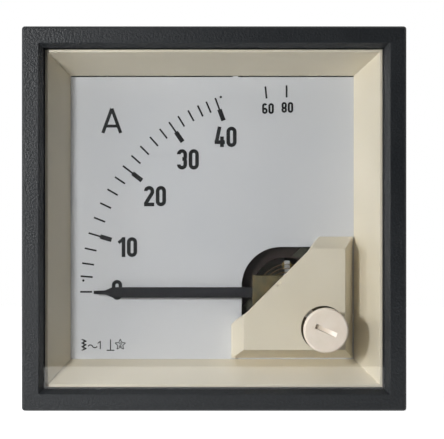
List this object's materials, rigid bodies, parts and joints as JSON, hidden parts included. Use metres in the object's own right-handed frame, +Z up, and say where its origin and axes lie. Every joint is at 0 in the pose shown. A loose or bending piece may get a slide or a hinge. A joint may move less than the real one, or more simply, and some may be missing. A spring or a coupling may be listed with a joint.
{
  "type": "analog panel meter",
  "caption": "Square moving-iron panel ammeter: dark bezel, sloping ivory frame, quarter-circle scale, pointer, zero adjuster, rear screw terminals.",
  "frame": {"origin": "middle of the bezel's rear face, which seats on the panel's front", "axes": "+X to the right seen from the front, +Y into the panel, +Z up; the scale faces -Y"},
  "size_m": [0.072, 0.072, 0.072],
  "materials": {
    "bezel_plastic": "finely grained moulded plastic",
    "case_plastic": "moulded plastic",
    "window_glass": "clear",
    "ivory_plastic": "smooth moulded plastic",
    "adjuster_plastic": "smooth moulded plastic",
    "scale_paint": "matt painted and printed sheet",
    "pointer_paint": "matt black painted",
    "bare_aluminium": "rolled sheet",
    "turned_brass": "turned",
    "passivated_steel": "olive passivated sheet",
    "black_steel": "phosphated sheet",
    "zinc_steel": "zinc plated",
    "spring_bronze": "rolled ribbon",
    "soft_iron": "annealed",
    "bobbin_plastic": "moulded phenolic",
    "enamelled_copper": "enamelled wire",
    "tinned_copper": "punched and brazed"
  },
  "bodies": {
    "case": {"case": "case_plastic", "bezel": "bezel_plastic", "window": "window_glass", "scale_frame": "ivory_plastic", "scale_plate": "scale_paint", "movement_cover": "ivory_plastic", "front_jewel_screw": "turned_brass", "front_bridge": "passivated_steel", "bridge_pillars": "turned_brass", "bridge_screws": "zinc_steel", "movement_plate": "black_steel", "movement_screws": "zinc_steel", "coil_bobbin": "bobbin_plastic", "coil": "enamelled_copper", "fixed_iron": "soft_iron", "damping_chamber": "bare_aluminium", "chamber_lid": "bare_aluminium", "rear_jewel_screw": "turned_brass", "rear_jewel_nut": "turned_brass", "left_lug": "tinned_copper", "right_lug": "tinned_copper", "terminal_studs": "turned_brass", "terminal_washers": "zinc_steel", "terminal_spring_washers": "zinc_steel", "terminal_nuts": "turned_brass"},
    "zero_adjuster": {"zero_adjuster": "adjuster_plastic", "adjuster_collar": "adjuster_plastic"},
    "zero_lever": {"zero_lever": "zinc_steel", "hairspring": "spring_bronze"},
    "pointer": {"pointer": "pointer_paint", "pointer_hub": "turned_brass", "spindle": "zinc_steel", "balance_cross": "bare_aluminium", "balance_weights": "turned_brass", "spring_collet": "turned_brass", "moving_iron": "soft_iron", "iron_carrier": "bare_aluminium", "damping_vane": "bare_aluminium"}
  },
  "joints": [
    {"name": "zero_adjust", "type": "hinge", "parent": "case", "child": "zero_adjuster", "pos_m": [0.021, 0, -0.021], "axis": [0, 1, 0], "range_deg": [-30, 30]},
    {"name": "zero_lever_turn", "type": "hinge", "parent": "case", "child": "zero_lever", "pos_m": [0.0144, 0, -0.0144], "axis": [0, 1, 0], "range_deg": [-3, 3]},
    {"name": "pointer_swing", "type": "hinge", "parent": "zero_lever", "child": "pointer", "pos_m": [0.0144, 0, -0.0144], "axis": [0, 1, 0], "range_deg": [-3, 93], "stiffness_Nm_per_rad": 0.00006}
  ],
  "couplings": [
    {"joint": "zero_lever_turn", "follows": "zero_adjust", "ratio": 0.09677}
  ]
}
